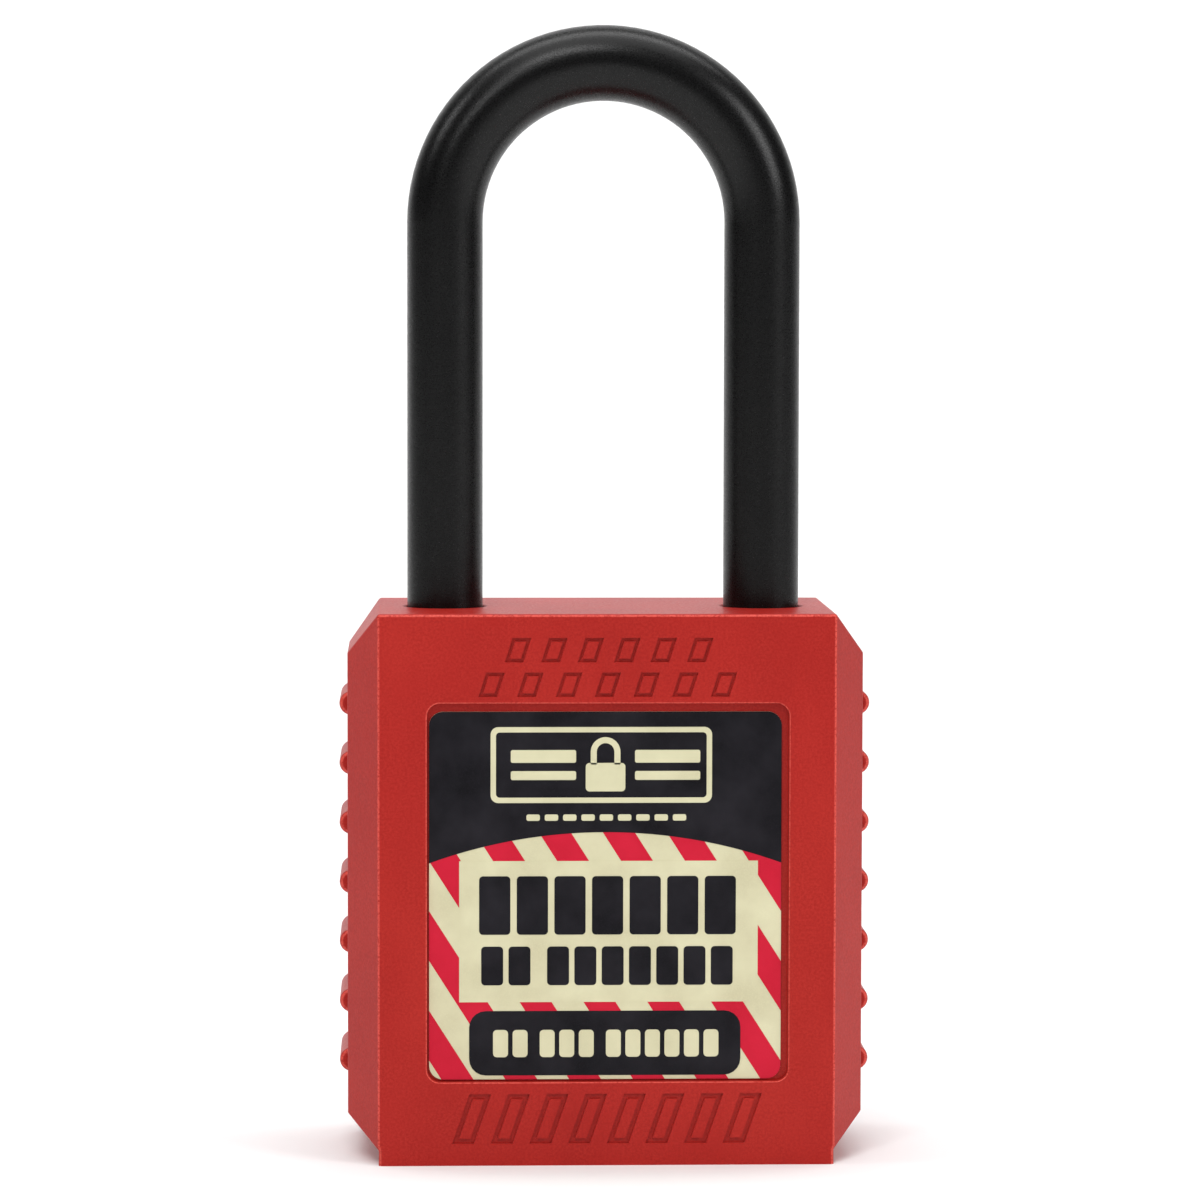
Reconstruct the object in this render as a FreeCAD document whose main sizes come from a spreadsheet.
import FreeCAD, Part
import math
import os
import Sketcher

# Safety padlock, in millimetres. +Z up, the front faces -Y, and the origin is the middle of the base.
# It is closed, with the plug at its unlocked angle: the latch is clear of the shackle's toe.

Vector = FreeCAD.Vector
Placement = FreeCAD.Placement
Rotation = FreeCAD.Rotation

SIZES = {
    # moulded body
    "body_height": 43.3, "body_depth": 20.0, "face_width": 35.7, "flat_width": 40.6, "flat_depth": 12.0,
    "top_cut": 3.3, "base_cut": 3.55, "base_skirt": 1.2, "edge_round": 0.28,
    # grip ribs
    "rib_radius": 0.95, "rib_proud": 0.65, "rib_length": 9.6, "rib_low": 7.6, "rib_pitch": 4.72,
    "rib_count": 7, "rib_end_round": 0.35,
    # label recess and labels
    "recess_left": 14.05, "recess_right": 14.2, "recess_low": 6.6, "recess_high": 36.3,
    "recess_depth": 0.6, "recess_round": 1.0, "rim_round": 0.15, "label_left": 13.9, "label_right": 13.65,
    "label_low": 6.75, "label_high": 35.65, "label_thick": 0.15, "label_round": 1.1,
    # engraved marks
    "mark_depth": 0.22, "small_height": 1.9, "small_width": 1.45, "small_lean": 0.6, "small_line": 0.28,
    "upper_row": 39.55, "upper_start": 8.0, "upper_pitch": 2.84, "upper_count": 6,
    "lower_row": 36.85, "lower_start": 10.05, "lower_pitch": 3.02, "lower_count": 7,
    "bar_row": 1.75, "bar_height": 3.9, "bar_width": 1.7, "bar_lean": 1.35, "bar_line": 0.4,
    "bar_start": 12.1, "bar_pitch": 3.03, "bar_count": 8,
    # shackle
    "rod_radius": 3.0, "leg_offset": 12.6, "bow_rise": 30.5, "leg_hole_radius": 3.25, "mouth_round": 0.2,
    "heel_end": 13.5, "toe_end": 31.8, "tip_chamfer": 0.6, "toe_floor": 31.0, "lift": 12.5,
    "notch_low": 34.6, "notch_high": 37.4, "notch_depth": 1.5, "neck_room": 0.25,
    "neck_radius": 1.65, "slot_width": 2.8, "slot_depth": 1.35,
    # cavity, base cover and pins
    "cavity_side": 8.3, "cavity_front": 8.2, "cavity_rear": 8.0, "cavity_top": 37.5,
    "cavity_round": 0.6, "cover_side": 16.3, "cover_half_depth": 8.4, "cover_round": 1.5,
    "cover_top": 1.8, "cover_low": 0.15, "fit_gap": 0.1, "press_gap": 0.02,
    "base_pin_radius": 0.9, "base_pin_top": 7.0, "base_pin_side": 14.3, "base_pin_half_depth": 6.3,
    "stop_pin_radius": 1.2, "stop_pin_height": 30.0, "stop_pin_inner": 5.2, "stop_pin_outer": 10.4,
    # lock cylinder
    "axis_forward": 2.2, "plug_radius": 4.0, "bore_radius": 4.05, "housing_radius": 5.8,
    "housing_low": 1.95, "housing_high": 28.4, "bible_half": 2.5, "bible_rear": 7.7,
    "collar_radius": 4.6, "collar_low": 0.3, "collar_high": 2.5, "collar_bore": 4.66,
    "tail_radius": 3.0, "tail_high": 29.4, "clip_low": 28.5, "clip_high": 29.1, "clip_seat": 2.5,
    "clip_radius": 4.2, "clip_gap": 3.0, "tongue_half": 0.8, "tongue_high": 31.6,
    "keyway_half": 0.62, "keyway_deep": 3.3, "keyway_near": 1.2, "keyway_end": 26.6, "ward": 0.25,
    "pin_count": 6, "pin_low": 5.5, "pin_pitch": 3.8, "pin_radius": 1.22, "chamber_radius": 1.28,
    "pin_seat": 0.2, "pin_rest": 0.05, "pin_tip": 0.5, "pin_tip_radius": 0.5, "pin_shy": 0.2,
    "driver_length": 2.6, "driver_gap": 0.04, "spring_gap": 0.03,
    "strip_half": 1.7, "strip_thick": 0.7, "strip_low": 3.4, "strip_high": 26.6,
    # cam and latch
    "hub_radius": 3.2, "hub_bore": 3.26, "hub_low": 29.5, "hub_high": 34.8, "disc_radius": 2.9,
    "disc_high": 37.1, "throw": 1.6, "clip_bore": 4.8, "latch_low": 34.8, "latch_high": 37.2,
    "latch_rear": 2.0, "latch_front": 7.6, "latch_left": 6.0, "latch_right": 4.0, "nose_tip": 9.15,
    "nose_half": 2.0, "nose_bevel": 0.5, "window_gap": 0.12, "latch_way": 2.2, "stop_way": 1.5,
    # springs
    "shackle_wire": 0.35, "shackle_coil": 2.3, "shackle_turns": 9, "pin_wire": 0.14,
    "pin_coil": 0.9, "pin_turns": 6,
    # how far a cutting outline runs past the solid it cuts
    "over_cut": 1.0,
}
KEY_CODE = [2, 4, 1, 3, 5, 2]  # depth step of each key pin, counted from the plug's face
KEY_STEP = 0.3
FRONT, REAR = -1, 1
TOUCH = 0.01  # two places this close count as the same when edges are picked
LEAST_CUT = 1e-6  # a pocket that removes less volume than this has missed the solid


class Size:
    """A length that carries its number and its spreadsheet expression through plain arithmetic."""

    def __init__(self, number, text):
        self.number = number
        self.text = text

    def __add__(self, other):
        other = sized(other)
        return Size(self.number + other.number, f"({self.text} + {other.text})")

    def __sub__(self, other):
        other = sized(other)
        return Size(self.number - other.number, f"({self.text} - {other.text})")

    def __mul__(self, other):
        other = sized(other)
        return Size(self.number * other.number, f"({self.text} * {other.text})")

    def __truediv__(self, other):
        other = sized(other)
        return Size(self.number / other.number, f"({self.text} / {other.text})")

    def __neg__(self):
        return Size(-self.number, f"(0 - {self.text})")


def sized(value):
    return value if isinstance(value, Size) else Size(value, repr(value))


class Sizes:
    """Every cell of the sheet, by its alias."""


doc = FreeCAD.newDocument("safety_padlock")
sheet = doc.addObject("Spreadsheet::Sheet", "Sizes")
s = Sizes()
for row, (alias, number) in enumerate(SIZES.items(), 1):
    sheet.set(f"A{row}", alias.replace("_", " "))
    sheet.set(f"B{row}", str(number))
    sheet.setAlias(f"B{row}", alias)
    setattr(s, alias, Size(number, f"Sizes.{alias}"))
doc.recompute()
sub_parts = []


# ---- document helpers ----

def bind(feature, prop, value):
    """Ties one property of a feature to the sheet."""
    value = sized(value)
    feature.setExpression(prop, value.text)


def finish(feature, label):
    """Names a finished sub-part and lists it for export."""
    feature.Label = label
    sub_parts.append(feature)
    return feature


def new_body(label):
    return finish(doc.addObject("PartDesign::Body", label), label)


def new_sketch(body, plane, offset=0):
    """An empty sketch on one of the body's own origin planes, moved along the plane's normal."""
    sketch = body.newObject("Sketcher::SketchObject", "Sketch")
    support = next(item for item in body.Origin.OriginFeatures if item.Role == plane)
    sketch.AttachmentSupport = [(support, "")]
    sketch.MapMode = "FlatFace"
    bind(sketch, "AttachmentOffset.Base.z", offset)
    return sketch


def fix_point(sketch, item, end, x, y):
    """Dimensions one point of a sketch from the origin, or lays it on an axis."""
    for value, kind, axis in ((sized(x), "DistanceX", -2), (sized(y), "DistanceY", -1)):
        if value.text == "0":
            sketch.addConstraint(Sketcher.Constraint("PointOnObject", item, end, axis))
        else:
            index = sketch.addConstraint(Sketcher.Constraint(kind, -1, 1, item, end, value.number))
            bind(sketch, f"Constraints[{index}]", value)


def outline(sketch, points):
    """A closed loop of straight lines."""
    corners = [(sized(x), sized(y)) for x, y in points]
    first = sketch.GeometryCount
    count = len(corners)
    for index, (x, y) in enumerate(corners):
        next_x, next_y = corners[(index + 1) % count]
        start = Vector(x.number, y.number, 0)
        sketch.addGeometry(Part.LineSegment(start, Vector(next_x.number, next_y.number, 0)), False)
    for index, (x, y) in enumerate(corners):
        follower = first + (index + 1) % count
        sketch.addConstraint(Sketcher.Constraint("Coincident", first + index, 2, follower, 1))
        fix_point(sketch, first + index, 1, x, y)


def rectangle(sketch, left, right, low, high):
    outline(sketch, [(left, low), (right, low), (right, high), (left, high)])


def circle(sketch, x, y, radius):
    x, y, radius = sized(x), sized(y), sized(radius)
    centre = Vector(x.number, y.number, 0)
    item = sketch.addGeometry(Part.Circle(centre, Vector(0, 0, 1), radius.number), False)
    fix_point(sketch, item, 3, x, y)
    index = sketch.addConstraint(Sketcher.Constraint("Radius", item, radius.number))
    bind(sketch, f"Constraints[{index}]", radius)


def rounded_rectangle(sketch, left, right, low, high, radius):
    """A rectangle whose corners are arcs, tangent to its sides."""
    x0, x1, y0, y1 = left.number, right.number, low.number, high.number
    r = radius.number
    sides = [((x0 + r, y0), (x1 - r, y0)), ((x1, y0 + r), (x1, y1 - r)),
             ((x1 - r, y1), (x0 + r, y1)), ((x0, y1 - r), (x0, y0 + r))]
    centres = [(x1 - r, y0 + r), (x1 - r, y1 - r), (x0 + r, y1 - r), (x0 + r, y0 + r)]
    first = sketch.GeometryCount
    for start, end in sides:
        sketch.addGeometry(Part.LineSegment(Vector(*start, 0), Vector(*end, 0)), False)
    for quarter, centre in enumerate(centres):
        ring = Part.Circle(Vector(*centre, 0), Vector(0, 0, 1), r)
        angle = math.radians(90 * quarter - 90)
        sketch.addGeometry(Part.ArcOfCircle(ring, angle, angle + math.pi / 2), False)
    for side in range(4):
        arc = first + 4 + side
        sketch.addConstraint(Sketcher.Constraint("Tangent", first + side, 2, arc, 1))
        sketch.addConstraint(Sketcher.Constraint("Tangent", arc, 2, first + (side + 1) % 4, 1))
        direction = "Horizontal" if side % 2 == 0 else "Vertical"
        sketch.addConstraint(Sketcher.Constraint(direction, first + side))
        if side:
            sketch.addConstraint(Sketcher.Constraint("Equal", first + 4, arc))
    index = sketch.addConstraint(Sketcher.Constraint("Radius", first + 4, r))
    bind(sketch, f"Constraints[{index}]", radius)
    for side, kind, value in ((3, "DistanceX", left), (1, "DistanceX", right),
                              (0, "DistanceY", low), (2, "DistanceY", high)):
        index = sketch.addConstraint(Sketcher.Constraint(kind, -1, 1, first + side, 1, value.number))
        bind(sketch, f"Constraints[{index}]", value)


def pad(body, sketch, length, reverse=False, both=False):
    feature = body.newObject("PartDesign::Pad", "Pad")
    feature.Profile = sketch
    feature.Reversed = reverse
    feature.Midplane = both
    bind(feature, "Length", length)
    doc.recompute()
    return feature


def pocket(body, sketch, length=None, reverse=False, both=False):
    """Cuts a sketch out of the body: against the sketch's normal, or along it when reversed."""
    before = body.Shape.Volume
    feature = body.newObject("PartDesign::Pocket", "Pocket")
    feature.Profile = sketch
    feature.Reversed = reverse
    feature.Midplane = both
    if length is None:
        feature.Type = "ThroughAll"
    else:
        bind(feature, "Length", length)
    doc.recompute()
    if body.Shape.Volume >= before - LEAST_CUT:
        raise RuntimeError(f"{body.Label}: {feature.Name} cuts nothing")
    return feature


def row_of(body, feature, sketch, axis, pitch, count):
    """Repeats one feature in a straight row along an axis of its sketch."""
    pattern = body.newObject("PartDesign::LinearPattern", "LinearPattern")
    pattern.Originals = [feature]
    pattern.Direction = (sketch, [axis])
    bind(pattern, "Length", pitch * (count - 1))
    bind(pattern, "Occurrences", count)
    body.Tip = pattern
    doc.recompute()
    return pattern


def near(place, size):
    """Whether a measured place lies at a size."""
    return abs(place - sized(size).number) < TOUCH


def edges_where(feature, test):
    """Names of the edges whose bounding box passes a test."""
    edges = enumerate(feature.Shape.Edges, 1)
    return [f"Edge{index}" for index, edge in edges if test(edge.BoundBox)]


def break_edges(body, kind, names, size):
    """Rounds (Fillet) or bevels (Chamfer) the named edges of the body's tip."""
    base = body.Tip
    feature = body.newObject(f"PartDesign::{kind}", kind)
    feature.Base = (base, names)
    bind(feature, "Radius" if kind == "Fillet" else "Size", size)
    doc.recompute()
    return feature


def cylinder(name, radius, length, start, along="z"):
    """A solid cylinder from its start point along +X, +Y or +Z."""
    feature = doc.addObject("Part::Cylinder", name)
    bind(feature, "Radius", radius)
    bind(feature, "Height", length)
    turn = {"x": Rotation(Vector(0, 1, 0), 90), "y": Rotation(Vector(1, 0, 0), -90), "z": Rotation()}
    feature.Placement = Placement(Vector(), turn[along])
    for axis, value in zip("xyz", start):
        bind(feature, f"Placement.Base.{axis}", value)
    return feature


def coil(label, coil_radius, wire_radius, length, turns, start, turn):
    """A round-wire helical spring from its start point along the turned +Z."""
    spine = doc.addObject("Part::Helix", "Helix")
    bind(spine, "Pitch", length / turns)
    bind(spine, "Height", length)
    bind(spine, "Radius", coil_radius)
    wire = doc.addObject("Part::Circle", "Wire")
    bind(wire, "Radius", wire_radius)
    wire.Placement = Placement(Vector(), Rotation(Vector(1, 0, 0), 90))
    bind(wire, "Placement.Base.x", coil_radius)
    spring = doc.addObject("Part::Sweep", label)
    spring.Sections = [wire]
    spring.Spine = (spine, ["Edge1"])
    spring.Solid = True
    spring.Frenet = True
    spring.Placement = Placement(Vector(), turn)
    for axis, value in zip("xyz", start):
        bind(spring, f"Placement.Base.{axis}", value)
    return finish(spring, label)


# ---- moulded body ----

def engraved_row(body, loops, depth, pitch, count):
    """Cuts one mark into the front face and repeats it to the right."""
    sketch = new_sketch(body, "XZ_Plane", s.body_depth / 2)
    for loop in loops:
        outline(sketch, loop)
    mark = pocket(body, sketch, depth)
    row_of(body, mark, sketch, "H_Axis", pitch, count)


def slanted(left, low, width, height, lean):
    """The four corners of an upright bar that leans to the right."""
    return [(left, low), (left + width, low), (left + width + lean, low + height),
            (left + lean, low + height)]


def slanted_ring(left, low, width, height, lean, line):
    """The outer and inner loops of a leaning bar drawn in outline."""
    inset = line * lean / height
    inner = slanted(left + line + inset, low + line, width - line * 2, height - line * 2,
                    lean - inset * 2)
    return [slanted(left, low, width, height, lean), inner]


def make_body_shell():
    body = new_body("body_shell")
    face, flat = s.face_width / 2, s.flat_width / 2
    front, flat_front = s.body_depth / 2, s.flat_depth / 2
    plan = new_sketch(body, "XY_Plane")
    outline(plan, [(face, -front), (flat, -flat_front), (flat, flat_front), (face, front),
                   (-face, front), (-flat, flat_front), (-flat, -flat_front), (-face, -front)])
    pad(body, plan, s.body_height)
    corners = new_sketch(body, "XZ_Plane")
    outside = flat + s.over_cut
    for side in (1, -1):
        outline(corners, [(face * side, s.body_height), (flat * side, s.body_height - s.top_cut),
                          (outside * side, s.body_height - s.top_cut),
                          (outside * side, s.body_height + s.over_cut),
                          (face * side, s.body_height + s.over_cut)])
        outline(corners, [(face * side, s.base_skirt), (flat * side, s.base_cut),
                          (outside * side, s.base_cut), (outside * side, -s.over_cut),
                          (face * side, -s.over_cut)])
    pocket(body, corners, both=True)
    long_edges = edges_where(body.Tip, lambda box: box.ZMax > TOUCH)
    break_edges(body, "Fillet", long_edges, s.edge_round)

    rib = new_sketch(body, "XZ_Plane")
    for side in (1, -1):
        circle(rib, (flat + s.rib_proud - s.rib_radius) * side, s.rib_low, s.rib_radius)
    row_of(body, pad(body, rib, s.rib_length, both=True), rib, "V_Axis", s.rib_pitch, s.rib_count)
    rib_edges = edges_where(body.Tip, lambda box: near(abs(box.YMax), s.rib_length / 2)
                            and near(box.YLength, 0)
                            and max(box.XMax, -box.XMin) > flat.number + s.edge_round.number / 2)
    break_edges(body, "Fillet", rib_edges, s.rib_end_round)

    for facing in (FRONT, REAR):
        recess = new_sketch(body, "XZ_Plane", front * -facing)
        rounded_rectangle(recess, -s.recess_left, s.recess_right, s.recess_low, s.recess_high,
                          s.recess_round)
        pocket(body, recess, s.recess_depth, reverse=facing == REAR)
    rims = edges_where(body.Tip, lambda box: near(abs(box.YMax), front) and near(box.YLength, 0)
                       and box.ZMin > s.recess_low.number - TOUCH
                       and box.ZMax < s.recess_high.number + TOUCH
                       and max(box.XMax, -box.XMin) < s.recess_right.number + TOUCH)
    break_edges(body, "Fillet", rims, s.rim_round)

    for start, low, pitch, count in (
            (s.upper_start, s.upper_row, s.upper_pitch, s.upper_count),
            (s.lower_start, s.lower_row, s.lower_pitch, s.lower_count)):
        small = slanted_ring(-start, low, s.small_width, s.small_height, s.small_lean, s.small_line)
        engraved_row(body, small, s.mark_depth, pitch, count)
    large = slanted_ring(-s.bar_start, s.bar_row, s.bar_width, s.bar_height, s.bar_lean, s.bar_line)
    engraved_row(body, large, s.mark_depth, s.bar_pitch, s.bar_count)

    cavity = new_sketch(body, "XY_Plane", s.cavity_top)
    rounded_rectangle(cavity, -s.cavity_side, s.cavity_side, -s.cavity_front, s.cavity_rear,
                      s.cavity_round)
    pocket(body, cavity)
    cover_seat = new_sketch(body, "XY_Plane", s.cover_top)
    rounded_rectangle(cover_seat, -s.cover_side, s.cover_side, -s.cover_half_depth,
                      s.cover_half_depth, s.cover_round)
    pocket(body, cover_seat)
    heel_hole = new_sketch(body, "XY_Plane", s.body_height)
    circle(heel_hole, -s.leg_offset, 0, s.leg_hole_radius)
    pocket(body, heel_hole)
    toe_hole = new_sketch(body, "XY_Plane", s.toe_floor)
    circle(toe_hole, s.leg_offset, 0, s.leg_hole_radius)
    pocket(body, toe_hole, reverse=True)
    mouths = edges_where(body.Tip, lambda box: near(box.ZMin, s.body_height)
                         and near(box.XLength, s.leg_hole_radius * 2))
    break_edges(body, "Fillet", mouths, s.mouth_round)
    pin_holes = new_sketch(body, "XY_Plane", s.base_pin_top + s.fit_gap)
    for x_side in (1, -1):
        for y_side in (1, -1):
            circle(pin_holes, s.base_pin_side * x_side, s.base_pin_half_depth * y_side,
                   s.base_pin_radius + s.press_gap)
    pocket(body, pin_holes)
    latch_way = new_sketch(body, "YZ_Plane", s.cavity_side - s.fit_gap)
    rectangle(latch_way, -s.nose_half - s.fit_gap, s.nose_half + s.fit_gap,
              s.latch_low - s.fit_gap, s.latch_high + s.fit_gap)
    pocket(body, latch_way, s.latch_way, reverse=True)
    stop_way = new_sketch(body, "YZ_Plane", -s.cavity_side + s.fit_gap)
    circle(stop_way, 0, s.stop_pin_height, s.stop_pin_radius + s.press_gap)
    pocket(body, stop_way, s.stop_way)


def make_label(label, facing):
    """A thin sticker on the floor of the front or rear recess."""
    body = new_body(label)
    floor = (s.body_depth / 2 - s.recess_depth) * -facing
    sketch = new_sketch(body, "XZ_Plane", floor)
    rounded_rectangle(sketch, -s.label_left, s.label_right, s.label_low, s.label_high, s.label_round)
    pad(body, sketch, s.label_thick, reverse=facing == REAR)


def make_base_cover():
    body = new_body("base_cover")
    plate = new_sketch(body, "XY_Plane", s.cover_low)
    rounded_rectangle(plate, -s.cover_side + s.fit_gap, s.cover_side - s.fit_gap,
                      -s.cover_half_depth + s.fit_gap, s.cover_half_depth - s.fit_gap, s.cover_round)
    circle(plate, 0, -s.axis_forward, s.collar_radius + s.fit_gap)
    for x_side in (1, -1):
        for y_side in (1, -1):
            circle(plate, s.base_pin_side * x_side, s.base_pin_half_depth * y_side,
                   s.base_pin_radius + s.press_gap)
    pad(body, plate, s.cover_top - s.cover_low - s.press_gap)


def make_base_pins():
    pins = []
    for x_side in (1, -1):
        for y_side in (1, -1):
            start = (s.base_pin_side * x_side, s.base_pin_half_depth * y_side, s.cover_low)
            pins.append(cylinder("BasePin", s.base_pin_radius, s.base_pin_top - s.cover_low, start))
    group = doc.addObject("Part::Compound", "base_pins")
    group.Links = pins
    finish(group, "base_pins")


def make_heel_stop_pin():
    start = (-s.stop_pin_outer, 0, s.stop_pin_height)
    length = s.stop_pin_outer - s.stop_pin_inner
    finish(cylinder("heel_stop_pin", s.stop_pin_radius, length, start, "x"), "heel_stop_pin")


def make_core_carrier():
    body = new_body("core_carrier")
    low = s.cover_top + s.fit_gap
    block = new_sketch(body, "XY_Plane", low)
    rounded_rectangle(block, -s.cavity_side + s.fit_gap, s.cavity_side - s.fit_gap,
                      -s.cavity_front + s.fit_gap, s.cavity_rear - s.fit_gap, s.cavity_round)
    pad(body, block, s.cavity_top - s.fit_gap - low)
    for top, radius in ((s.housing_high + s.fit_gap, s.housing_radius + s.fit_gap),
                        (s.tail_high, s.clip_bore), (s.cavity_top, s.hub_bore)):
        bore = new_sketch(body, "XY_Plane", top)
        circle(bore, 0, -s.axis_forward, radius)
        pocket(body, bore)
    bible = new_sketch(body, "XY_Plane", s.housing_high + s.fit_gap)
    rectangle(bible, -s.bible_half - s.fit_gap, s.bible_half + s.fit_gap, 0, s.cavity_rear)
    pocket(body, bible)
    channel = new_sketch(body, "XY_Plane", s.latch_low - s.fit_gap)
    rear, front = s.latch_rear + s.fit_gap, -s.latch_front - s.fit_gap
    right = s.latch_right + s.throw + s.fit_gap
    nose = s.nose_half + s.fit_gap
    outline(channel, [(-s.latch_left - s.fit_gap, front), (right, front), (right, -nose),
                      (s.cavity_side, -nose), (s.cavity_side, nose), (right, nose),
                      (right, rear + s.fit_gap), (-s.latch_left - s.fit_gap, rear + s.fit_gap)])
    pocket(body, channel, reverse=True)
    pin_way = new_sketch(body, "YZ_Plane", -s.stop_pin_inner + s.fit_gap)
    circle(pin_way, 0, s.stop_pin_height, s.stop_pin_radius + s.press_gap)
    pocket(body, pin_way)


# ---- shackle and its spring ----

def make_shackle():
    body = new_body("shackle")
    bow_height = s.body_height + s.bow_rise
    bow = new_sketch(body, "XY_Plane", bow_height)
    circle(bow, s.leg_offset, 0, s.rod_radius)
    turn = body.newObject("PartDesign::Revolution", "Revolution")
    turn.Profile = bow
    turn.ReferenceAxis = (bow, ["V_Axis"])
    turn.Angle = 180
    turn.Reversed = True
    doc.recompute()
    for x_place, end in ((-s.leg_offset, s.heel_end), (s.leg_offset, s.toe_end)):
        leg = new_sketch(body, "XY_Plane", end)
        circle(leg, x_place, 0, s.rod_radius)
        pad(body, leg, bow_height - end)
    tips = edges_where(body.Tip, lambda box: near(box.ZLength, 0)
                       and box.ZMax < s.toe_end.number + TOUCH)
    break_edges(body, "Chamfer", tips, s.tip_chamfer)
    inner = s.leg_offset - s.rod_radius
    # at full lift the heel's neck is level with the stop pin, and the slot lets the pin pass on the way
    slot_high = s.stop_pin_height + s.stop_pin_radius + s.neck_room
    neck_high = slot_high - s.lift
    neck_low = neck_high - (s.stop_pin_radius + s.neck_room) * 2
    notch = new_sketch(body, "XZ_Plane")
    rectangle(notch, inner - s.over_cut, inner + s.notch_depth, s.notch_low, s.notch_high)
    pocket(body, notch, both=True, length=s.rod_radius * 2)
    slot = new_sketch(body, "XZ_Plane")
    rectangle(slot, -inner - s.slot_depth, -inner + s.over_cut, neck_low, slot_high)
    pocket(body, slot, both=True, length=s.slot_width)
    neck = new_sketch(body, "XY_Plane", neck_high)
    circle(neck, -s.leg_offset, 0, s.rod_radius + s.over_cut)
    circle(neck, -s.leg_offset, 0, s.neck_radius)
    pocket(body, neck, neck_high - neck_low)


def make_shackle_spring():
    low = s.cover_top + s.shackle_wire
    length = s.heel_end - s.fit_gap - s.shackle_wire - low
    coil("shackle_spring", s.shackle_coil, s.shackle_wire, length, s.shackle_turns,
         (-s.leg_offset, 0, low), Rotation())


# ---- lock cylinder ----

def make_cylinder_housing():
    body = new_body("cylinder_housing")
    height = s.housing_high - s.housing_low
    barrel = new_sketch(body, "XY_Plane", s.housing_low)
    circle(barrel, 0, -s.axis_forward, s.housing_radius)
    pad(body, barrel, height)
    bible = new_sketch(body, "XY_Plane", s.housing_low)
    rectangle(bible, -s.bible_half, s.bible_half, 0, s.bible_rear)
    pad(body, bible, height)
    bore = new_sketch(body, "XY_Plane", s.housing_high)
    circle(bore, 0, -s.axis_forward, s.bore_radius)
    pocket(body, bore)
    collar_seat = new_sketch(body, "XY_Plane", s.collar_high + s.fit_gap)
    circle(collar_seat, 0, -s.axis_forward, s.collar_bore)
    pocket(body, collar_seat)
    chamber = new_sketch(body, "XZ_Plane", s.axis_forward)
    circle(chamber, 0, s.pin_low, s.chamber_radius)
    first = pocket(body, chamber)
    row_of(body, first, chamber, "V_Axis", s.pin_pitch, s.pin_count)
    strip_seat = new_sketch(body, "XZ_Plane", -s.bible_rear)
    rectangle(strip_seat, -s.strip_half - s.press_gap, s.strip_half + s.press_gap,
              s.strip_low - s.press_gap, s.strip_high + s.press_gap)
    pocket(body, strip_seat, s.strip_thick + s.press_gap, reverse=True)


def make_pin_chamber_cover():
    body = new_body("pin_chamber_cover")
    strip = new_sketch(body, "XZ_Plane", -s.bible_rear)
    rectangle(strip, -s.strip_half, s.strip_half, s.strip_low, s.strip_high)
    pad(body, strip, s.strip_thick)


def make_cylinder_plug():
    """The plug at its unlocked angle: its pin holes face +X and its keyway lies along X."""
    body = new_body("cylinder_plug")
    for low, high, radius in ((s.collar_low, s.collar_high, s.collar_radius),
                              (s.collar_high, s.housing_high, s.plug_radius),
                              (s.housing_high, s.clip_low - s.press_gap, s.tail_radius),
                              (s.clip_low - s.press_gap, s.clip_high + s.press_gap, s.clip_seat),
                              (s.clip_high + s.press_gap, s.tail_high, s.tail_radius)):
        step = new_sketch(body, "XY_Plane", low)
        circle(step, 0, -s.axis_forward, radius)
        pad(body, step, high - low)
    tongue = new_sketch(body, "XY_Plane", s.tail_high)
    rectangle(tongue, -s.clip_seat, s.clip_seat, -s.axis_forward - s.tongue_half,
              -s.axis_forward + s.tongue_half)
    pad(body, tongue, s.tongue_high - s.tail_high)
    keyway = new_sketch(body, "XY_Plane", s.keyway_end)
    deep, shallow, half = -s.keyway_deep, s.keyway_near, s.keyway_half
    middle = -s.axis_forward
    third = (shallow - deep) / 3
    sixth = third / 2
    outline(keyway, [(deep, middle - half), (deep + third, middle - half),
                     (deep + third, middle - half + s.ward), (shallow - third, middle - half + s.ward),
                     (shallow - third, middle - half), (shallow, middle - half),
                     (shallow, middle + half), (shallow - sixth, middle + half),
                     (shallow - sixth, middle + half - s.ward), (deep + sixth, middle + half - s.ward),
                     (deep + sixth, middle + half), (deep, middle + half)])
    pocket(body, keyway)
    hole = new_sketch(body, "YZ_Plane", s.pin_seat)
    circle(hole, -s.axis_forward, s.pin_low, s.chamber_radius)
    first = pocket(body, hole, reverse=True)
    row_of(body, first, hole, "V_Axis", s.pin_pitch, s.pin_count)


def make_plug_circlip():
    """An open ring round the tail's groove, with its gap to the rear."""
    body = new_body("plug_circlip")
    ring = new_sketch(body, "XY_Plane", s.clip_low)
    circle(ring, 0, -s.axis_forward, s.clip_radius)
    circle(ring, 0, -s.axis_forward, s.clip_seat + s.press_gap)
    pad(body, ring, s.clip_high - s.clip_low)
    gap = new_sketch(body, "XY_Plane", s.clip_high)
    rectangle(gap, -s.clip_gap / 2, s.clip_gap / 2, -s.axis_forward, s.clip_radius)
    pocket(body, gap)


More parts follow.
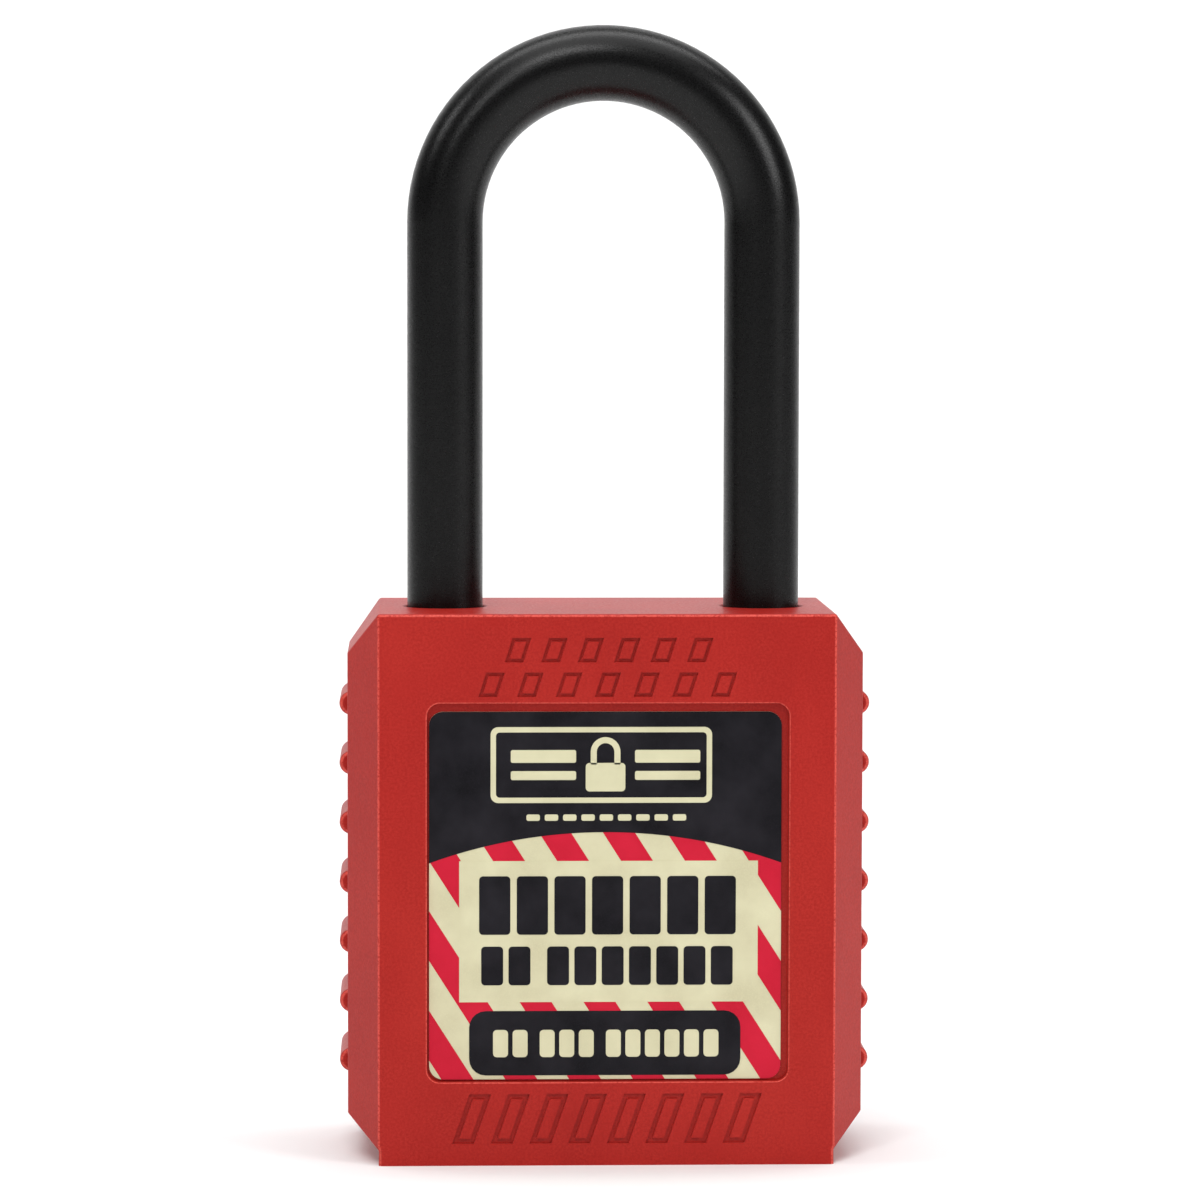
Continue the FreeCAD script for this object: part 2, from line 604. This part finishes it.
def make_pins():
    """Key pins lie in the plug along +X; driver pins and springs stand in the chambers along +Y."""
    shear = s.plug_radius - s.pin_shy
    driver_start = s.bore_radius - s.axis_forward + s.driver_gap
    spring_start = driver_start + s.driver_length + s.pin_wire + s.spring_gap
    spring_end = s.bible_rear - s.strip_thick - s.pin_wire - s.spring_gap
    for index in range(SIZES["pin_count"]):
        height = s.pin_low + s.pin_pitch * index
        bottom = s.pin_seat + s.pin_rest + KEY_STEP * KEY_CODE[index]
        tip = doc.addObject("Part::Cone", "PinTip")
        bind(tip, "Radius1", s.pin_tip_radius)
        bind(tip, "Radius2", s.pin_radius)
        bind(tip, "Height", s.pin_tip)
        tip.Placement = Placement(Vector(), Rotation(Vector(0, 1, 0), 90))
        for axis, value in zip("xyz", (bottom, -s.axis_forward, height)):
            bind(tip, f"Placement.Base.{axis}", value)
        shank = cylinder("PinShank", s.pin_radius, shear - bottom - s.pin_tip,
                         (bottom + s.pin_tip, -s.axis_forward, height), "x")
        key_pin = doc.addObject("Part::MultiFuse", "key_pin")
        key_pin.Shapes = [tip, shank]
        finish(key_pin, f"key_pin_{index + 1}")
        driver = cylinder("driver_pin", s.pin_radius, s.driver_length, (0, driver_start, height), "y")
        finish(driver, f"driver_pin_{index + 1}")
        coil(f"pin_spring_{index + 1}", s.pin_coil, s.pin_wire, spring_end - spring_start, s.pin_turns,
             (0, spring_start, height), Rotation(Vector(1, 0, 0), -90))


# ---- cam and latch ----

def make_drive_cam():
    """A hub slotted over the plug's tongue, with an eccentric disc that starts half a throw back."""
    body = new_body("drive_cam")
    hub = new_sketch(body, "XY_Plane", s.hub_low)
    circle(hub, 0, -s.axis_forward, s.hub_radius)
    pad(body, hub, s.hub_high - s.hub_low)
    disc = new_sketch(body, "XY_Plane", s.hub_high)
    circle(disc, -s.throw / 2, -s.axis_forward - s.throw / 2, s.disc_radius)
    pad(body, disc, s.disc_high - s.hub_high)
    slot = new_sketch(body, "XY_Plane", s.tongue_high + s.fit_gap)
    half = s.tongue_half + s.fit_gap
    rectangle(slot, -s.hub_radius, s.hub_radius, -s.axis_forward - half, -s.axis_forward + half)
    pocket(body, slot)


def make_latch_bolt():
    """A plate with a window round the cam disc and a nose that enters the toe's notch."""
    body = new_body("latch_bolt")
    plate = new_sketch(body, "XY_Plane", s.latch_low)
    nose, tip, bevel = s.nose_half, s.nose_tip, s.nose_bevel
    outline(plate, [(-s.latch_left, -s.latch_front), (s.latch_right, -s.latch_front),
                    (s.latch_right, -nose), (tip - bevel, -nose), (tip, -nose + bevel),
                    (tip, nose - bevel), (tip - bevel, nose), (-s.latch_left, nose)])
    half = s.disc_radius + s.window_gap
    centre = -s.throw / 2
    # the disc bulges furthest forward half way through its turn
    swing = s.throw * (math.sin(math.pi / 4) - 0.5)
    rectangle(plate, centre - half, centre + half, -s.axis_forward + centre - half - swing,
              -s.axis_forward + centre + half)
    pad(body, plate, s.latch_high - s.latch_low)


make_body_shell()
make_base_cover()
make_base_pins()
make_core_carrier()
make_label("front_label", FRONT)
make_label("rear_label", REAR)
make_shackle()
make_shackle_spring()
make_heel_stop_pin()
make_cylinder_housing()
make_pin_chamber_cover()
make_cylinder_plug()
make_plug_circlip()
make_pins()
make_drive_cam()
make_latch_bolt()
doc.recompute()

# ---- checks and export ----

for item in doc.Objects:
    if "Invalid" in item.State or "Error" in item.State:
        raise RuntimeError(f"{item.Label} failed: {item.State}")
for item in sub_parts:
    if item.Shape.isNull() or not item.Shape.isValid() or not item.Shape.Solids:
        raise RuntimeError(f"{item.Label} has no valid solid")

os.makedirs("parts", exist_ok=True)
for item in sub_parts:
    item.Shape.exportStep(f"parts/{item.Label}.step")
    box = item.Shape.BoundBox
    print(f"{item.Label}: {len(item.Shape.Solids)} solid(s), {box.XLength:.2f} x {box.YLength:.2f}"
          f" x {box.ZLength:.2f} mm, z {box.ZMin:.2f} to {box.ZMax:.2f}")
